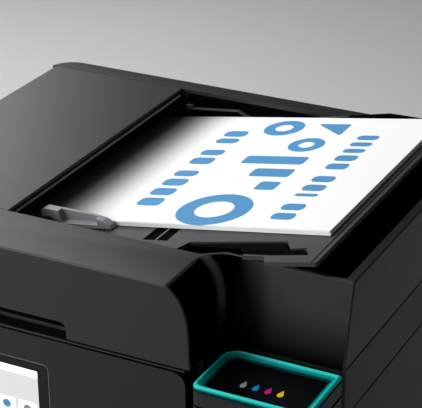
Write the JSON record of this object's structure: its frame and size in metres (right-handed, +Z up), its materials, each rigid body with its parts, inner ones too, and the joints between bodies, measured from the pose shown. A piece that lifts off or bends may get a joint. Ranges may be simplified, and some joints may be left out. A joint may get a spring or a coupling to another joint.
{
  "type": "inkjet printer",
  "caption": "All-in-one ink-tank office printer: flatbed scanner, sheet-fed document cover with a tilted tray, touch panel, refillable tanks and a front paper drawer.",
  "frame": {"origin": "centre of the bounding box at the level of the feet", "axes": "+Z up, the front with the control panel faces -Y, +X to the right seen from the front"},
  "size_m": [0.375, 0.347, 0.3461],
  "materials": {
    "shell_black": "fine textured black",
    "cover_grey": "fine textured charcoal",
    "gloss_black": "polished black",
    "tray_grey": "fine textured dark grey",
    "guide_grey": "satin mid grey",
    "inner_black": "matt black",
    "teal": "satin teal",
    "rubber": "matt",
    "steel": "satin",
    "white_pad": "matt white",
    "paper": "matt white",
    "glass": "clear",
    "screen": "lit display behind a clear front",
    "black_ink": "translucent tank of black ink",
    "cyan_ink": "translucent tank of cyan ink",
    "magenta_ink": "translucent tank of magenta ink",
    "yellow_ink": "translucent tank of yellow ink"
  },
  "bodies": {
    "main": {"base_pan": "inner_black", "foot_front_left": "rubber", "foot_front_right": "rubber", "foot_rear_left": "rubber", "foot_rear_right": "rubber", "side_cover_left": "shell_black", "side_cover_right": "shell_black", "rear_panel": "shell_black", "front_frame": "shell_black", "chassis_frame": "steel", "carriage_rail": "steel", "platen": "inner_black", "carriage_motor": "steel", "carriage_belt": "rubber", "mains_inlet": "inner_black", "usb_port": "steel", "network_port": "steel", "ink_tank_housing": "shell_black", "ink_tank_black": "black_ink", "ink_tank_cyan": "cyan_ink", "ink_tank_magenta": "magenta_ink", "ink_tank_yellow": "yellow_ink", "ink_level_window": "glass"},
    "rear_cover": {"rear_cover": "shell_black"},
    "maintenance_box": {"maintenance_box": "cover_grey"},
    "cassette": {"paper_cassette": "shell_black", "cassette_front_panel": "shell_black"},
    "cassette_guide_left": {"cassette_guide_left": "guide_grey"},
    "cassette_guide_right": {"cassette_guide_right": "guide_grey"},
    "output_tray": {"output_tray": "shell_black"},
    "output_extension": {"output_tray_extension": "shell_black"},
    "output_stopper": {"output_stopper": "shell_black"},
    "control_panel": {"control_panel": "shell_black", "touch_screen": "screen"},
    "power_button": {"power_button": "gloss_black"},
    "ink_lid": {"ink_tank_lid": "gloss_black", "ink_lid_rim": "teal"},
    "tank_cap_black": {"tank_cap_black": "rubber"},
    "tank_cap_cyan": {"tank_cap_cyan": "rubber"},
    "tank_cap_magenta": {"tank_cap_magenta": "rubber"},
    "tank_cap_yellow": {"tank_cap_yellow": "rubber"},
    "scanner": {"scanner_base": "shell_black", "scanner_glass": "glass", "scan_rod": "steel", "lid_hinge_shaft": "steel"},
    "scan_carriage": {"scan_carriage": "inner_black"},
    "document_cover": {"document_cover": "cover_grey", "document_mat": "white_pad"},
    "adf_cover": {"adf_cover": "cover_grey"},
    "adf_pickup_roller": {"adf_pickup_roller": "rubber"},
    "adf_feed_roller": {"adf_feed_roller": "rubber"},
    "adf_tray": {"adf_input_tray": "tray_grey"},
    "edge_guide_front": {"edge_guide_front": "guide_grey"},
    "edge_guide_rear": {"edge_guide_rear": "guide_grey"},
    "document_stopper": {"document_stopper": "inner_black"},
    "document_sheets": {"document_sheets": "paper"},
    "print_carriage": {"print_carriage": "inner_black"},
    "feed_roller": {"feed_roller": "rubber"},
    "idler_gear": {"idler_gear": "white_pad"},
    "exit_roller": {"exit_roller": "rubber"}
  },
  "joints": [
    {"name": "rear_cover_slide", "type": "slide", "parent": "main", "child": "rear_cover", "axis": [0, 1, 0], "range_m": [0, 0.08]},
    {"name": "maintenance_box_slide", "type": "slide", "parent": "main", "child": "maintenance_box", "axis": [0, 1, 0], "range_m": [0, 0.09]},
    {"name": "cassette_slide", "type": "slide", "parent": "main", "child": "cassette", "axis": [0, -1, 0], "range_m": [0, 0.28]},
    {"name": "cassette_guide_left_slide", "type": "slide", "parent": "cassette", "child": "cassette_guide_left", "axis": [1, 0, 0], "range_m": [0, 0.04]},
    {"name": "cassette_guide_right_slide", "type": "slide", "parent": "cassette", "child": "cassette_guide_right", "axis": [1, 0, 0], "range_m": [-0.04, 0]},
    {"name": "output_tray_slide", "type": "slide", "parent": "main", "child": "output_tray", "axis": [0, -1, 0], "range_m": [0, 0.12]},
    {"name": "output_extension_slide", "type": "slide", "parent": "output_tray", "child": "output_extension", "axis": [0, -1, 0], "range_m": [0, 0.11]},
    {"name": "output_stopper_flip", "type": "hinge", "parent": "output_extension", "child": "output_stopper", "pos_m": [-0.031, -0.1335, 0.1], "axis": [-1, 0, 0], "range_deg": [0, 80]},
    {"name": "control_panel_tilt", "type": "hinge", "parent": "main", "child": "control_panel", "pos_m": [-0.046, -0.157, 0.263], "axis": [-1, 0, 0], "range_deg": [0, 45]},
    {"name": "power_button_press", "type": "slide", "parent": "control_panel", "child": "power_button", "axis": [0, 1, 0], "range_m": [0, 0.0012], "stiffness_N_per_m": 400, "springref_m": -0.001},
    {"name": "ink_lid_hinge", "type": "hinge", "parent": "main", "child": "ink_lid", "pos_m": [0.147, -0.1255, 0.2686], "axis": [-1, 0, 0], "range_deg": [0, 74]},
    {"name": "tank_cap_black_hinge", "type": "hinge", "parent": "main", "child": "tank_cap_black", "pos_m": [0.1207, -0.1415, 0.235], "axis": [-1, 0, 0], "range_deg": [0, 90]},
    {"name": "tank_cap_cyan_hinge", "type": "hinge", "parent": "main", "child": "tank_cap_cyan", "pos_m": [0.14015, -0.1415, 0.235], "axis": [-1, 0, 0], "range_deg": [0, 90]},
    {"name": "tank_cap_magenta_hinge", "type": "hinge", "parent": "main", "child": "tank_cap_magenta", "pos_m": [0.15685, -0.1415, 0.235], "axis": [-1, 0, 0], "range_deg": [0, 90]},
    {"name": "tank_cap_yellow_hinge", "type": "hinge", "parent": "main", "child": "tank_cap_yellow", "pos_m": [0.17355, -0.1415, 0.235], "axis": [-1, 0, 0], "range_deg": [0, 90]},
    {"name": "scanner_lift", "type": "hinge", "parent": "main", "child": "scanner", "pos_m": [0, 0.1565, 0.2367], "axis": [-1, 0, 0], "range_deg": [0, 30]},
    {"name": "scan_carriage_slide", "type": "slide", "parent": "scanner", "child": "scan_carriage", "axis": [1, 0, 0], "range_m": [0, 0.29]},
    {"name": "cover_hinge", "type": "hinge", "parent": "scanner", "child": "document_cover", "pos_m": [0, 0.1595, 0.2775], "axis": [-1, 0, 0], "range_deg": [0, 75]},
    {"name": "adf_cover_hinge", "type": "hinge", "parent": "document_cover", "child": "adf_cover", "pos_m": [-0.1847, 0.0125, 0.3065], "axis": [0, -1, 0], "range_deg": [0, 80]},
    {"name": "adf_pickup_roller_spin", "type": "hinge", "parent": "document_cover", "child": "adf_pickup_roller", "pos_m": [-0.1, 0.0129, 0.306], "axis": [0, 1, 0], "continuous": true},
    {"name": "adf_feed_roller_spin", "type": "hinge", "parent": "document_cover", "child": "adf_feed_roller", "pos_m": [-0.134, 0.0129, 0.302], "axis": [0, 1, 0], "continuous": true},
    {"name": "tray_lift", "type": "hinge", "parent": "document_cover", "child": "adf_tray", "pos_m": [-0.076, 0.0125, 0.3013], "axis": [0, -1, 0], "range_deg": [0, 16]},
    {"name": "edge_guide_front_slide", "type": "slide", "parent": "adf_tray", "child": "edge_guide_front", "axis": [0, -1, 0], "range_m": [0, 0.003]},
    {"name": "edge_guide_rear_slide", "type": "slide", "parent": "adf_tray", "child": "edge_guide_rear", "axis": [0, 1, 0], "range_m": [0, 0.003]},
    {"name": "stopper_flip", "type": "hinge", "parent": "adf_tray", "child": "document_stopper", "pos_m": [0.07, -0.0965, 0.32597], "axis": [0, -1, 0], "range_deg": [0, 75]},
    {"name": "sheets_pull", "type": "slide", "parent": "adf_tray", "child": "document_sheets", "axis": [0.986, 0, 0.1666], "range_m": [0, 0.1]},
    {"name": "print_carriage_slide", "type": "slide", "parent": "main", "child": "print_carriage", "axis": [-1, 0, 0], "range_m": [0, 0.22]},
    {"name": "feed_roller_spin", "type": "hinge", "parent": "main", "child": "feed_roller", "pos_m": [0, -0.0115, 0.118], "axis": [1, 0, 0], "continuous": true},
    {"name": "idler_gear_spin", "type": "hinge", "parent": "main", "child": "idler_gear", "pos_m": [-0.164, -0.0455, 0.118], "axis": [1, 0, 0], "continuous": true},
    {"name": "exit_roller_spin", "type": "hinge", "parent": "main", "child": "exit_roller", "pos_m": [0, -0.0795, 0.118], "axis": [1, 0, 0], "continuous": true}
  ],
  "couplings": [
    {"joint": "cassette_guide_right_slide", "follows": "cassette_guide_left_slide", "ratio": -1},
    {"joint": "edge_guide_rear_slide", "follows": "edge_guide_front_slide", "ratio": 1},
    {"joint": "adf_feed_roller_spin", "follows": "adf_pickup_roller_spin", "ratio": 0.9},
    {"joint": "idler_gear_spin", "follows": "feed_roller_spin", "ratio": -1},
    {"joint": "exit_roller_spin", "follows": "feed_roller_spin", "ratio": 1}
  ]
}
